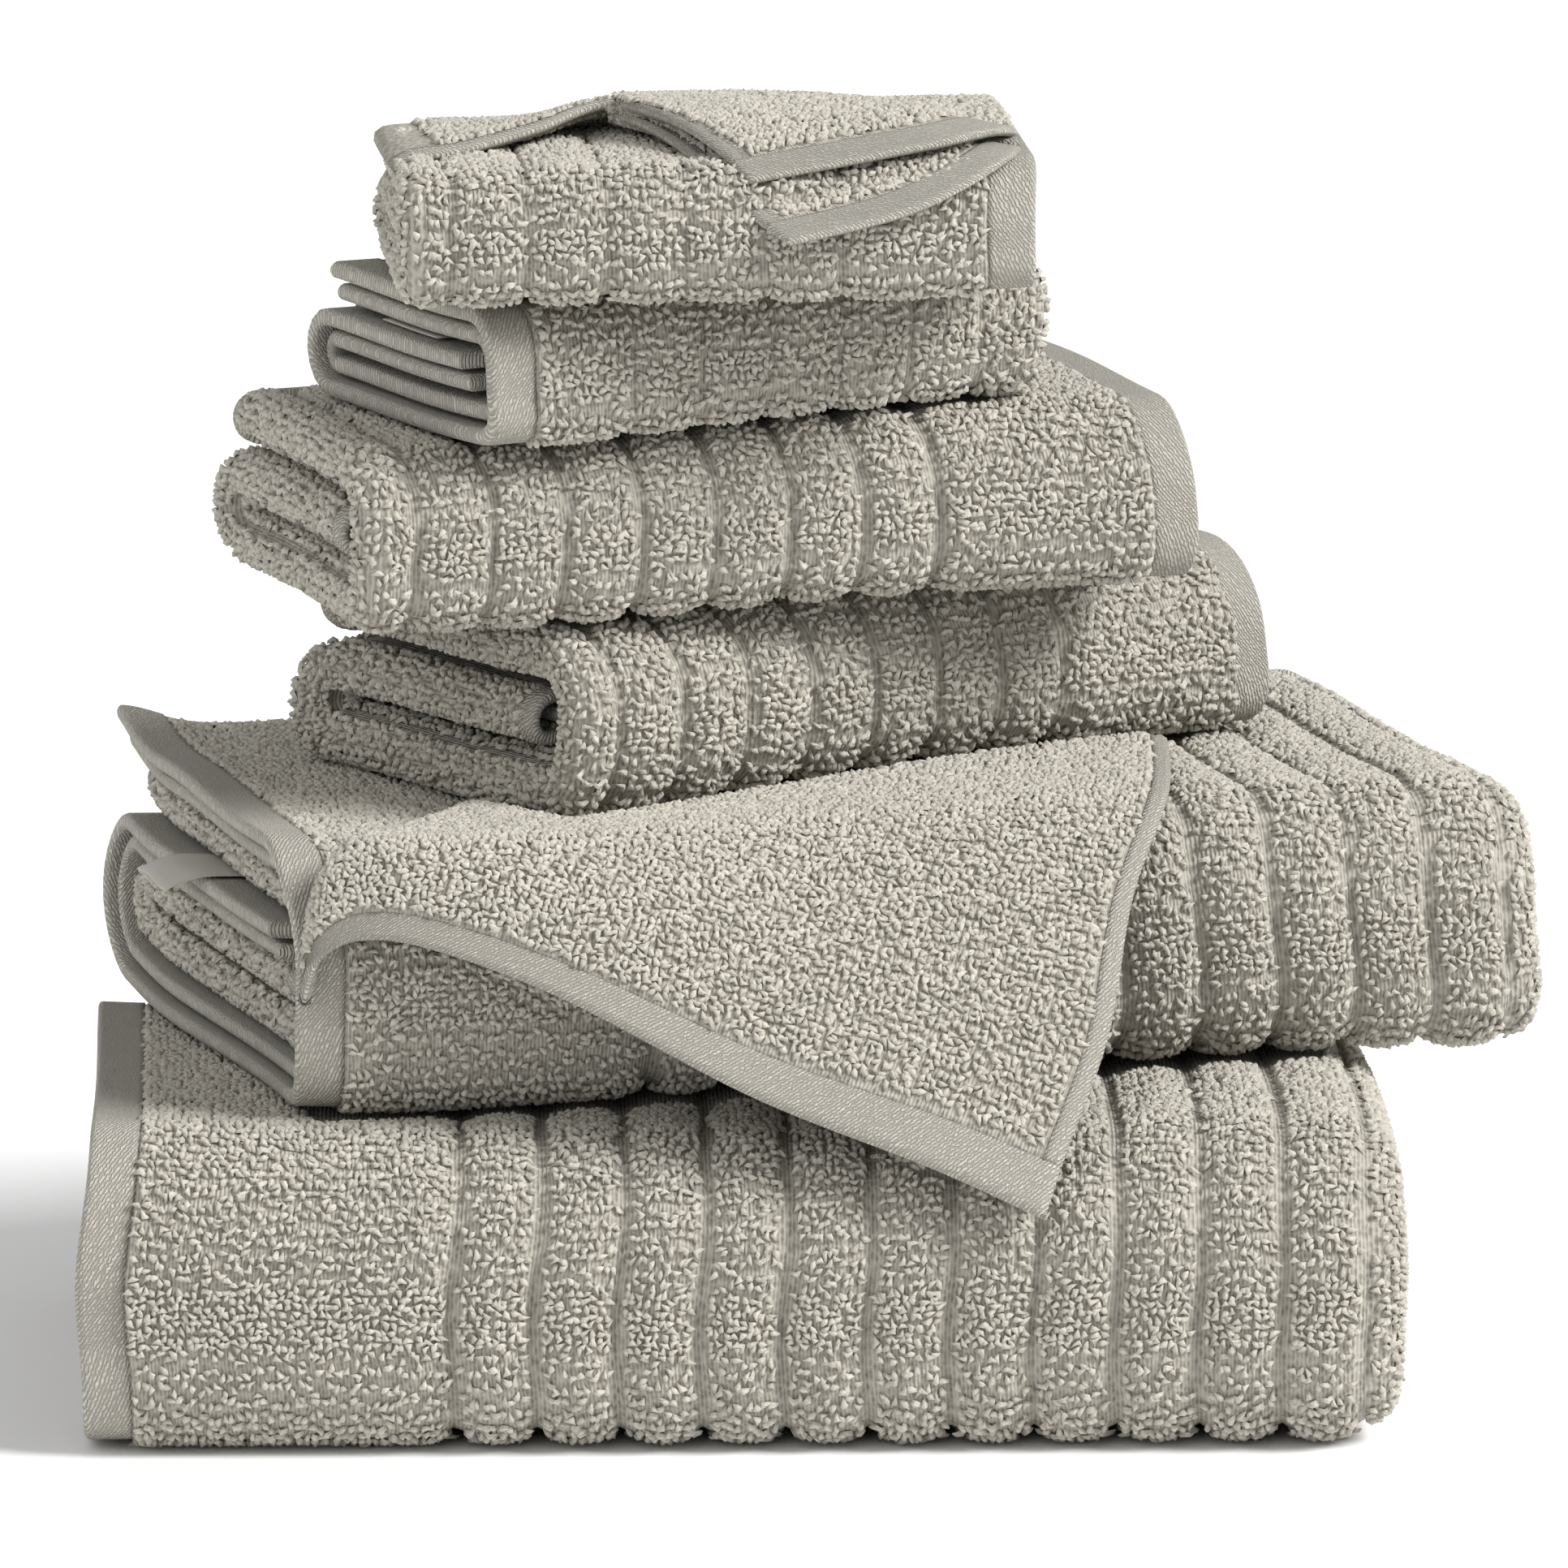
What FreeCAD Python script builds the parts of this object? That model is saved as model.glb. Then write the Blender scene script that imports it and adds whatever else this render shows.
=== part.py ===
import FreeCAD, Part
import math
import os
from types import SimpleNamespace

os.makedirs("parts", exist_ok=True)

# Bath towel set: two bath towels, two hand towels and two washcloths, folded and stacked.
# Millimetres. +Z is up, the stack rests on z = 0, its long front faces -Y, and the origin is
# under the middle of the whole set. Every towel is one woven cloth folded across its length
# into plies, and then folded in three across its width.

# The cloth, the same on all six towels
END_HEM = 13.0          # width of the flat-woven, turned and stitched hem at each end
SIDE_HEM = 6.0          # width of the hem down each long side
STITCH_ROW = 0.8        # width of the row of stitches along the inner edge of an end hem
STITCH_SINK = 0.3       # how far the stitches pull the cloth in
HEM_STEP = 3.0          # how far each hidden ply stops short of the ply outside it
PANEL_AIR = 0.8         # air between one folded panel and the next
STACK_AIR = 0.5         # air between one towel and the towel that it lies on
FREE_EDGE_AIR = 2.0     # from a hidden side hem to the turn of the front fold

# The satin care label, a flat loop sewn into the end of each towel
LABEL_THICKNESS = 0.4
LABEL_LENGTH = 26.0     # along the towel
LABEL_WIDTH = 34.0      # along the hem
LABEL_SHOWING = 12.0    # how much of it stands out of the end, on the towel where it shows

# Folded sizes: cut length, how many plies it is folded into, and depth from front to back
BATH_LENGTH = 1372.0
BATH_PLIES = 4
BATH_DEPTH = 226.0
HAND_LENGTH = 696.0
HAND_PLIES = 3
HAND_DEPTH = 136.0
WASH_LENGTH = 332.0
WASH_PLIES = 2
WASH_DEPTH = 112.0

# Shape of the front fold, as shares of one folded panel: the foot is pressed squarer than the top
FOOT_TURN = 0.55
TOP_TURN = 0.85

# How far the top panel's side hem stops short of the back of the towel
TOP_PANEL_SHORT = 14.0

# Thickness of one ply under the weight above it, and where each towel lies: the left front
# corner in x and y before the set is centred, and the turn in degrees, right end to the back
LOWER_BATH_PLY = 6.7
UPPER_BATH_PLY = 5.8
LOWER_HAND_PLY = 5.6
UPPER_HAND_PLY = 5.3
LOWER_WASH_PLY = 6.1
UPPER_WASH_PLY = 5.7
LOWER_BATH_PLACE = (-182.0, -112.0, 1.2)
UPPER_BATH_PLACE = (-127.0, -79.0, 15.5)
LOWER_HAND_PLACE = (-53.0, -39.0, 37.5)
UPPER_HAND_PLACE = (-111.0, -50.0, 18.0)
LOWER_WASH_PLACE = (-74.0, -52.0, 28.0)
UPPER_WASH_PLACE = (-98.0, -62.0, 6.0)

# The corners that are turned over. START is where the turn leaves the end hem, measured up the
# front and over the top; ANGLE is its slope from there; EDGE is the same measure of the side hem.
BATH_TURN_START = 34.0
BATH_TURN_ANGLE = 37.0
BATH_TURN_EDGE = 262.0
WASH_TURN_START = 50.0
WASH_TURN_ANGLE = 31.0
WASH_TURN_EDGE = 118.0
CORNER_AIR = 0.6        # between a turned corner and the cloth that it lies against
BATH_TIP_ALONG = 246.0  # the bath towel's corner hangs this far along the lower towel's front
BATH_TIP_DROP = 20.0    # and this far below the lower towel's top


def towel(name, length, plies, depth, ply, place, base, hem_left):
    """Works out one folded towel's levels and turns from its own sizes."""
    t = SimpleNamespace(name=name, plies=plies, depth=depth, ply=ply, base=base, hem_left=hem_left)
    t.x, t.y, t.turn = place
    t.length = length / plies
    t.pack = plies * ply
    t.pitch = t.pack + PANEL_AIR
    t.low = t.pack / 2
    t.middle = t.low + t.pitch
    t.high = t.middle + t.pitch
    t.height = t.high + t.pack / 2
    t.foot = FOOT_TURN * t.pitch
    t.brow = TOP_TURN * t.pitch
    t.face = t.pack / 2
    t.rear = depth - t.face - t.pitch / 2
    return t


def above(lower):
    return lower.base + lower.height + STACK_AIR


lower_bath = towel("bath_towel_lower", BATH_LENGTH, BATH_PLIES, BATH_DEPTH, LOWER_BATH_PLY,
                   LOWER_BATH_PLACE, 0.0, True)
upper_bath = towel("bath_towel_upper", BATH_LENGTH, BATH_PLIES, BATH_DEPTH, UPPER_BATH_PLY,
                   UPPER_BATH_PLACE, above(lower_bath), True)
lower_hand = towel("hand_towel_lower", HAND_LENGTH, HAND_PLIES, HAND_DEPTH, LOWER_HAND_PLY,
                   LOWER_HAND_PLACE, above(upper_bath), False)
upper_hand = towel("hand_towel_upper", HAND_LENGTH, HAND_PLIES, HAND_DEPTH, UPPER_HAND_PLY,
                   UPPER_HAND_PLACE, above(lower_hand), False)
lower_wash = towel("washcloth_lower", WASH_LENGTH, WASH_PLIES, WASH_DEPTH, LOWER_WASH_PLY,
                   LOWER_WASH_PLACE, above(upper_hand), True)
upper_wash = towel("washcloth_upper", WASH_LENGTH, WASH_PLIES, WASH_DEPTH, UPPER_WASH_PLY,
                   UPPER_WASH_PLACE, above(lower_wash), False)
TOWELS = [lower_bath, upper_bath, lower_hand, upper_hand, lower_wash, upper_wash]


def vec(x, y, z):
    return FreeCAD.Vector(x, y, z)


def arc(y, z, radius, start, middle, end):
    """An arc in the section plane about (y, z), through three angles in degrees."""
    spots = []
    for angle in (start, middle, end):
        a = math.radians(angle)
        spots.append(vec(0, y + radius * math.cos(a), z + radius * math.sin(a)))
    return Part.Arc(*spots).toShape(), spots[0], spots[2]


def fold_line(t, offset, trim):
    """The folded section at one offset from the middle of the plies, outwards positive.

    It starts at the hidden side hem, turns down round the back, runs forward along the
    bottom, up the front and back along the top to the outer side hem.
    """
    back, back_in, back_out = arc(t.rear, t.low + t.pitch / 2, t.pitch / 2 + offset, 90, 0, -90)
    foot, foot_in, foot_out = arc(t.face + t.foot, t.low + t.foot, t.foot + offset, 270, 225, 180)
    brow, brow_in, brow_out = arc(t.face + t.brow, t.high - t.brow, t.brow + offset, 180, 135, 90)
    first = vec(0, inner_edge(t) + trim, t.middle + offset)
    last = vec(0, outer_edge(t) - trim, t.high + offset)
    edges = [
        Part.makeLine(first, back_in),
        back,
        Part.makeLine(back_out, foot_in),
        foot,
        Part.makeLine(foot_out, brow_in),
        brow,
        Part.makeLine(brow_out, last),
    ]
    return edges, first, last


def inner_edge(t):
    """How far back the hidden side hem lies, just behind the turn of the front fold."""
    return t.face + max(t.foot, t.brow) + FREE_EDGE_AIR


def outer_edge(t):
    """How far back the outer side hem lies on top."""
    return t.depth - TOP_PANEL_SHORT


def along(t, near, far):
    """A stretch measured from the hemmed end, as a start and a length from the left end."""
    return (near if t.hem_left else t.length - far), far - near


def ribbon(t, outer, inner, near, far, trim):
    """Cloth between two offsets, folded in three, from near to far along the towel."""
    outside, out_first, out_last = fold_line(t, outer, trim)
    inside, in_first, in_last = fold_line(t, inner, trim)
    ends = [Part.makeLine(out_first, in_first), Part.makeLine(out_last, in_last)]
    loop = Part.Wire(Part.__sortEdges__(outside + inside + ends))
    start, run = along(t, near, far)
    solid = Part.Face(loop).extrude(vec(run, 0, 0))
    solid.translate(vec(start, 0, 0))
    return solid


def ply_skins(t, index):
    """Offsets of a ply's outer and inner skin; ply 0 is on the outside."""
    return t.pack / 2 - index * t.ply, t.pack / 2 - (index + 1) * t.ply


def end_of(t, index):
    """Where a ply stops, measured from the hemmed end."""
    return index * HEM_STEP


def hem_at_far_end(t, index):
    """An odd number of plies puts the cloth's second hem at the towel's other end."""
    return index == 1 and t.plies % 2 == 1


def hem_span(t, index):
    """Where the hem of one of the two outer plies starts and ends, from the hemmed end."""
    if hem_at_far_end(t, index):
        far = t.length - 2 * t.ply
        return far - END_HEM, far
    return end_of(t, index), end_of(t, index) + END_HEM


def terry_span(t, index):
    """Where the looped part of a ply starts and ends, from the hemmed end."""
    if hem_at_far_end(t, index):
        return end_of(t, index), hem_span(t, index)[0]
    return (hem_span(t, index)[1] if index < 2 else end_of(t, index)), t.length


def hem(t, index):
    outer, inner = ply_skins(t, index)
    near, far = hem_span(t, index)
    if hem_at_far_end(t, index):
        near += STITCH_ROW
    else:
        far -= STITCH_ROW
    return ribbon(t, outer, inner, near, far, 0.0)


def stitch_row(t, index):
    outer, inner = ply_skins(t, index)
    near, far = hem_span(t, index)
    if hem_at_far_end(t, index):
        far = near + STITCH_ROW
    else:
        near = far - STITCH_ROW
    return ribbon(t, outer - STITCH_SINK, inner + STITCH_SINK, near, far, 0.0)


def terry(t):
    """All the plies of looped pile. The two outer plies stop at their hems."""
    layers = []
    for index in range(t.plies):
        outer, inner = ply_skins(t, index)
        near, far = terry_span(t, index)
        layers.append(ribbon(t, outer, inner, near, far, SIDE_HEM))
    return layers[0].fuse(layers[1:]).removeSplitter()


def side_hems(t):
    """The hem down both long sides, one strip on each ply at each free edge."""
    strips = []
    for index in range(t.plies):
        outer, inner = ply_skins(t, index)
        start, run = along(t, *terry_span(t, index))
        for y, level in ((inner_edge(t), t.middle), (outer_edge(t) - SIDE_HEM, t.high)):
            strips.append(Part.makeBox(run, SIDE_HEM, outer - inner, vec(start, y, level + inner)))
    return strips[0].fuse(strips[1:]).removeSplitter()


def care_label(t, showing):
    """A thin satin loop between the middle panel and the top one, at the hemmed end."""
    start, run = along(t, -showing, LABEL_LENGTH - showing)
    level = t.middle + t.pack / 2 + (PANEL_AIR - LABEL_THICKNESS) / 2
    y = t.depth / 2 - LABEL_WIDTH / 2
    return Part.makeBox(run, LABEL_WIDTH, LABEL_THICKNESS, vec(start, y, level))


def placed(t, shape):
    """Stands a shape made in the towel's own frame where the towel lies in the stack."""
    shape.rotate(vec(0, 0, 0), vec(0, 0, 1), t.turn)
    shape.translate(vec(t.x, t.y, t.base))
    return shape


def spot(t, x, y, z):
    """A point of the towel's own frame, in the stack."""
    a = math.radians(t.turn)
    return vec(t.x + x * math.cos(a) - y * math.sin(a), t.y + x * math.sin(a) + y * math.cos(a), t.base + z)


def plate(points, thickness):
    """A flat plate: a polygon pushed along the vector thickness."""
    return Part.Face(Part.makePolygon(points + [points[0]])).extrude(thickness)


def turned(start, angle, edge, height):
    """Where the turned corner's outline crosses the front's upper edge, its tip and far end.

    Each is a distance from the hemmed end and a height up the front and over the top. The
    corner is mirrored across the turn, so its hem and its side hem stay square to each other.
    """
    a = math.radians(angle)
    span = edge - start
    tip = (span * math.sin(2 * a), start - span * math.cos(2 * a))
    far = (span / math.tan(a), edge)
    rise = (height - tip[1]) / (far[1] - tip[1])
    side = tip[0] + rise * (far[0] - tip[0])
    slope = (far[0] - tip[0]) / (far[1] - tip[1])
    return SimpleNamespace(tip=tip, far=far, side=side, slope=slope)


def covered_at(x, slope):
    """How far back a line on the upper bath towel's top runs before the hand towel covers it.

    The line starts at x on the front edge and moves along by slope for each millimetre back.
    """
    t = upper_bath
    own = math.radians(t.turn)
    skew = math.radians(lower_hand.turn - t.turn)
    dx, dy = lower_hand.x - t.x, lower_hand.y - t.y
    corner_x = dx * math.cos(own) + dy * math.sin(own)
    corner_y = dy * math.cos(own) - dx * math.sin(own) - STACK_AIR / math.cos(skew)
    run = (x + slope * corner_y - corner_x) / (math.cos(skew) - slope * math.sin(skew))
    return corner_y + run * math.sin(skew)


def bath_corner():
    """The corner turned out over the front, down to the front of the towel below."""
    t = upper_bath
    fold = turned(BATH_TURN_START, BATH_TURN_ANGLE, BATH_TURN_EDGE, t.height)
    a = math.radians(BATH_TURN_ANGLE)
    lip = (t.height - BATH_TURN_START) / math.tan(a)
    lip_back = covered_at(lip, 1 / math.tan(a))
    side_back = covered_at(fold.side, fold.slope)
    top = t.height + CORNER_AIR
    near = -CORNER_AIR - t.ply
    outwards = spot(t, 0, near, 0) - spot(t, 0, -CORNER_AIR, 0)
    lid = plate([
        spot(t, lip, near, top),
        spot(t, fold.side, near, top),
        spot(t, fold.side + side_back * fold.slope, side_back, top),
        spot(t, lip + lip_back / math.tan(a), lip_back, top),
    ], vec(0, 0, t.ply))
    root = spot(t, 0, -CORNER_AIR, BATH_TURN_START)
    side = spot(t, fold.side, -CORNER_AIR, top)
    tip = spot(lower_bath, BATH_TIP_ALONG, -CORNER_AIR, lower_bath.height - BATH_TIP_DROP)
    tent = plate([root, tip, side], outwards)
    gusset = plate([root, side, spot(t, lip, -CORNER_AIR, top)], outwards)
    return lid.fuse([tent, gusset]).removeSplitter()


def wash_corner():
    """Two plies of the top panel turned over at the hemmed end, down over the front."""
    t = upper_wash
    fold = turned(WASH_TURN_START, WASH_TURN_ANGLE, WASH_TURN_EDGE, t.height)
    fall = (WASH_TURN_START - t.height) / (WASH_TURN_START - fold.tip[1])
    top = t.height + CORNER_AIR

    def across(x):
        return x if t.hem_left else t.length - x

    thick = 2 * t.ply
    near = -CORNER_AIR - thick
    outwards = spot(t, 0, near, 0) - spot(t, 0, -CORNER_AIR, 0)
    lid = plate([
        spot(t, across(0), WASH_TURN_START - t.height, top),
        spot(t, across(fold.far[0]), fold.far[1] - t.height, top),
        spot(t, across(fold.side), near, top),
        spot(t, across(fall * fold.tip[0]), near, top),
    ], vec(0, 0, thick))
    hang = plate([
        spot(t, across(fall * fold.tip[0]), -CORNER_AIR, top),
        spot(t, across(fold.tip[0]), -CORNER_AIR, fold.tip[1]),
        spot(t, across(fold.side), -CORNER_AIR, top),
    ], outwards)
    return lid.fuse(hang).removeSplitter()


pieces = {}
for t in TOWELS:
    showing = LABEL_SHOWING if t is upper_bath else -HEM_STEP
    pieces[t.name + "_terry"] = placed(t, terry(t))
    pieces[t.name + "_outer_hem"] = placed(t, hem(t, 0))
    pieces[t.name + "_inner_hem"] = placed(t, hem(t, 1))
    pieces[t.name + "_side_hems"] = placed(t, side_hems(t))
    pieces[t.name + "_hem_stitching"] = placed(t, Part.Compound([stitch_row(t, 0), stitch_row(t, 1)]))
    pieces[t.name + "_care_label"] = placed(t, care_label(t, showing))
pieces["bath_towel_upper_turned_corner"] = bath_corner()
pieces["washcloth_upper_turned_corner"] = wash_corner()

whole = Part.Compound(list(pieces.values())).BoundBox
centre = vec(-whole.Center.x, -whole.Center.y, 0)
for name, shape in pieces.items():
    shape.translate(centre)
    shape.exportStep("parts/" + name + ".step")
    print(name, "solids", len(shape.Solids), "valid", shape.isValid(), "volume", round(shape.Volume))
print("size", round(whole.XLength, 1), round(whole.YLength, 1), round(whole.ZLength, 1))
foot = spot(lower_bath, lower_bath.length / 2, lower_bath.depth / 2, 0) + centre
print("resting face centre", round(foot.x, 2), round(foot.y, 2), round(foot.z, 2))
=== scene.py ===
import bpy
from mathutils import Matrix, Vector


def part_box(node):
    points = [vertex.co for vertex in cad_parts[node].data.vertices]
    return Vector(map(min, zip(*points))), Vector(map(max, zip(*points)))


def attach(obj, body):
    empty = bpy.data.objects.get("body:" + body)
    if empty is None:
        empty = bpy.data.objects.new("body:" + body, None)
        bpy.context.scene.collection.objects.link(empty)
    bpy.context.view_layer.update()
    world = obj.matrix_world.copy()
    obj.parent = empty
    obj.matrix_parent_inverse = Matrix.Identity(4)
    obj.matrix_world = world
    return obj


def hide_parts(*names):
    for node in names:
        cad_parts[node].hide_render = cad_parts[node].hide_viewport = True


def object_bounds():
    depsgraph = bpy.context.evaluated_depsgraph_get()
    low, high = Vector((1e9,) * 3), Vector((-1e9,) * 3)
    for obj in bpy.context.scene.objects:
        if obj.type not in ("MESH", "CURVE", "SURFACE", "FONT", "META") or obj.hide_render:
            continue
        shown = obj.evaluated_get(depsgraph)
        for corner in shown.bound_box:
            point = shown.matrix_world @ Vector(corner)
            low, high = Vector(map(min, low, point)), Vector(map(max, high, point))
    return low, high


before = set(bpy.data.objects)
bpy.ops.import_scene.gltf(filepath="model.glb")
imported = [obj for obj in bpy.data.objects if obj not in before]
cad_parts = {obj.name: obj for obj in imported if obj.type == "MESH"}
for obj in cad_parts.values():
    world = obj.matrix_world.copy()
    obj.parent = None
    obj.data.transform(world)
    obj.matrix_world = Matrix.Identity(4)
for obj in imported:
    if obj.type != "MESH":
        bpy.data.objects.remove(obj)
cad_box = [list(corner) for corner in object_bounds()]

import math
import bpy
import numpy as np
from mathutils import Vector

# ---------------------------------------------------------------------------
# Camera, floor and studio light. A long lens a little above the stack, a pale
# paper floor and background, a large soft lamp from the upper right and a
# weaker one from the left.
# ---------------------------------------------------------------------------
LENS = 346.7
CAMERA_AWAY = 4.0
CAMERA_RISE = math.radians(10.5)

set_low, set_high = (Vector(corner) for corner in cad_box)
aim = (set_low + set_high) / 2 + Vector((-0.0081, -0.0587, 0.0))
aim.z = 0.158
camera_data = bpy.data.cameras.new("studio_camera")
camera_data.lens = LENS
camera_data.sensor_width = 36.0
camera_data.clip_end = 50.0
camera = bpy.data.objects.new("studio_camera", camera_data)
bpy.context.scene.collection.objects.link(camera)
camera.location = aim + Vector((0.0, -math.cos(CAMERA_RISE), math.sin(CAMERA_RISE))) * CAMERA_AWAY
camera.rotation_euler = (aim - camera.location).to_track_quat("-Z", "Y").to_euler()
bpy.context.scene.camera = camera
bpy.context.scene.view_settings.view_transform = "Standard"

world = bpy.data.worlds.new("white_studio")
bpy.context.scene.world = world
world.use_nodes = True
world.node_tree.nodes["Background"].inputs["Color"].default_value = (1.0, 1.0, 1.0, 1.0)
world.node_tree.nodes["Background"].inputs["Strength"].default_value = 0.46


def lamp(name, towards, power, softness):
    """A very broad, even lamp far away, so that the paper floor is lit all over."""
    data = bpy.data.lights.new(name, "SUN")
    data.energy = power
    data.angle = math.radians(softness)
    lit = bpy.data.objects.new(name, data)
    bpy.context.scene.collection.objects.link(lit)
    lit.location = towards
    lit.rotation_euler = towards.to_track_quat("Z", "Y").to_euler()


lamp("key_light", Vector((1.0, -0.43, 0.92)), 3.8, 26.0)
lamp("fill_light", Vector((-0.9, -1.2, 0.8)), 0.75, 60.0)

for thing in bpy.context.selected_objects:
    thing.select_set(False)
bpy.ops.mesh.primitive_plane_add(size=24.0, location=(0.0, 0.0, -0.0006))
floor = bpy.context.object
floor.name = "paper_floor"
paper = bpy.data.materials.new("pale_paper")
paper.use_nodes = True
paper.node_tree.nodes["Principled BSDF"].inputs["Base Color"].default_value = (0.97, 0.97, 0.97, 1.0)
paper.node_tree.nodes["Principled BSDF"].inputs["Roughness"].default_value = 0.9
floor.data.materials.append(paper)


# ---------------------------------------------------------------------------
# The cloth of the six towels: terry woven in one with its end hems and side
# hems. Each hem is turned under twice and stitched, so it is flat, thinner than
# the pile and a little lower. Each towel is folded into plies, then in three.
# ---------------------------------------------------------------------------
def finish(name, dark, light, rough, sheen):
    """A matt cotton with a mottled colour between two tones; returns its nodes too."""
    made = bpy.data.materials.new(name)
    made.use_nodes = True
    tree = made.node_tree
    shader = tree.nodes["Principled BSDF"]
    shader.inputs["Roughness"].default_value = rough
    shader.inputs["Sheen Weight"].default_value = sheen
    shader.inputs["Sheen Roughness"].default_value = 0.5
    shader.inputs["Specular IOR Level"].default_value = 0.15
    place = tree.nodes.new("ShaderNodeTexCoord")
    ramp = tree.nodes.new("ShaderNodeValToRGB")
    ramp.color_ramp.elements[0].color = (*dark, 1.0)
    ramp.color_ramp.elements[1].color = (*light, 1.0)
    tree.links.new(ramp.outputs["Color"], shader.inputs["Base Color"])
    return made, tree, shader, place, ramp


def add(tree, kind, **values):
    node = tree.nodes.new(kind)
    for key, value in values.items():
        setattr(node, key, value)
    return node


def bump_from(tree, shader, height, strength, depth):
    bump = add(tree, "ShaderNodeBump")
    bump.inputs["Strength"].default_value = strength
    bump.inputs["Distance"].default_value = depth
    tree.links.new(height, bump.inputs["Height"])
    tree.links.new(bump.outputs["Normal"], shader.inputs["Normal"])


# ground: the tight weave in the grooves and under the loops, coloured darker than the loops as painted
# shade between and under them
ground_finish_painted_shade, tree, shader, place, ramp = finish(
    "terry_ground", (0.17, 0.157, 0.133), (0.45, 0.423, 0.366), 0.95, 0.05)
speck = add(tree, "ShaderNodeTexVoronoi")
speck.inputs["Scale"].default_value = 520.0
tree.links.new(place.outputs["Object"], speck.inputs["Vector"])
flat_map = add(tree, "ShaderNodeUVMap", uv_map="cut_cloth")
cords = add(tree, "ShaderNodeTexWave")
cords.inputs["Scale"].default_value = 290.0
cords.inputs["Distortion"].default_value = 1.5
tree.links.new(flat_map.outputs["UV"], cords.inputs["Vector"])
woven = add(tree, "ShaderNodeMath", operation="MULTIPLY_ADD")
tree.links.new(cords.outputs["Fac"], woven.inputs[0])
woven.inputs[1].default_value = 0.45
tree.links.new(speck.outputs["Distance"], woven.inputs[2])
tree.links.new(woven.outputs["Value"], ramp.inputs["Fac"])
bump_from(tree, shader, woven.outputs["Value"], 0.8, 0.0008)

# hem: twill ribs about a millimetre apart, slanting across the hem
hem_finish, tree, shader, place, ramp = finish(
    "twill_hem", (0.31, 0.291, 0.251), (0.56, 0.533, 0.471), 0.88, 0.12)
flat_map = add(tree, "ShaderNodeUVMap", uv_map="cut_cloth")
slant = add(tree, "ShaderNodeMapping")
slant.inputs["Rotation"].default_value = (0.0, 0.0, math.radians(38.0))
tree.links.new(flat_map.outputs["UV"], slant.inputs["Vector"])
twill = add(tree, "ShaderNodeTexWave")
twill.inputs["Scale"].default_value = 380.0
twill.inputs["Distortion"].default_value = 5.0
twill.inputs["Detail"].default_value = 3.0
twill.inputs["Detail Scale"].default_value = 3.0
tree.links.new(slant.outputs["Vector"], twill.inputs["Vector"])
tree.links.new(twill.outputs["Fac"], ramp.inputs["Fac"])
bump_from(tree, shader, twill.outputs["Fac"], 1.0, 0.0005)

# A point of the cloth is x along the folded towel, v across the cut cloth, and
# o outwards from the middle of the plies, all in millimetres.
MM = 0.001
AIR = 0.8            # between one folded panel and the next
FOOT = 0.55          # turns of the front fold, as shares of a panel
BROW = 0.85
SQUARE = 0.74        # under 1, the foot is pressed squarer than a round turn
SHORT = 14.0         # how far the top panel stops short of the back
FREE_EDGE = 2.0      # how far the hidden edge stops short of the front fold
END_HEM = 13.0
SIDE_HEM = 6.0
HEM_STEP = 3.0       # how far each inner crease or hem is set in from the end
HEM_SHARE = 0.76     # an end hem's thickness, as a share of a ply
SIDE_SHARE = 0.6
RIDGE = 0.35         # the side hem's lengthwise ridges: height and pitch
RIDGE_PITCH = 3.0
GROOVE = 2.3         # how far a groove sinks between two ribs
CROWN = 1.6          # how far the cloth stands out where nothing lies on it
GROUND_SHARE = 1.6   # how much thinner the ground is than a ply, for the pile on both sides
LOOP_TIP = 0.9       # and for the loops' tips


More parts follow.
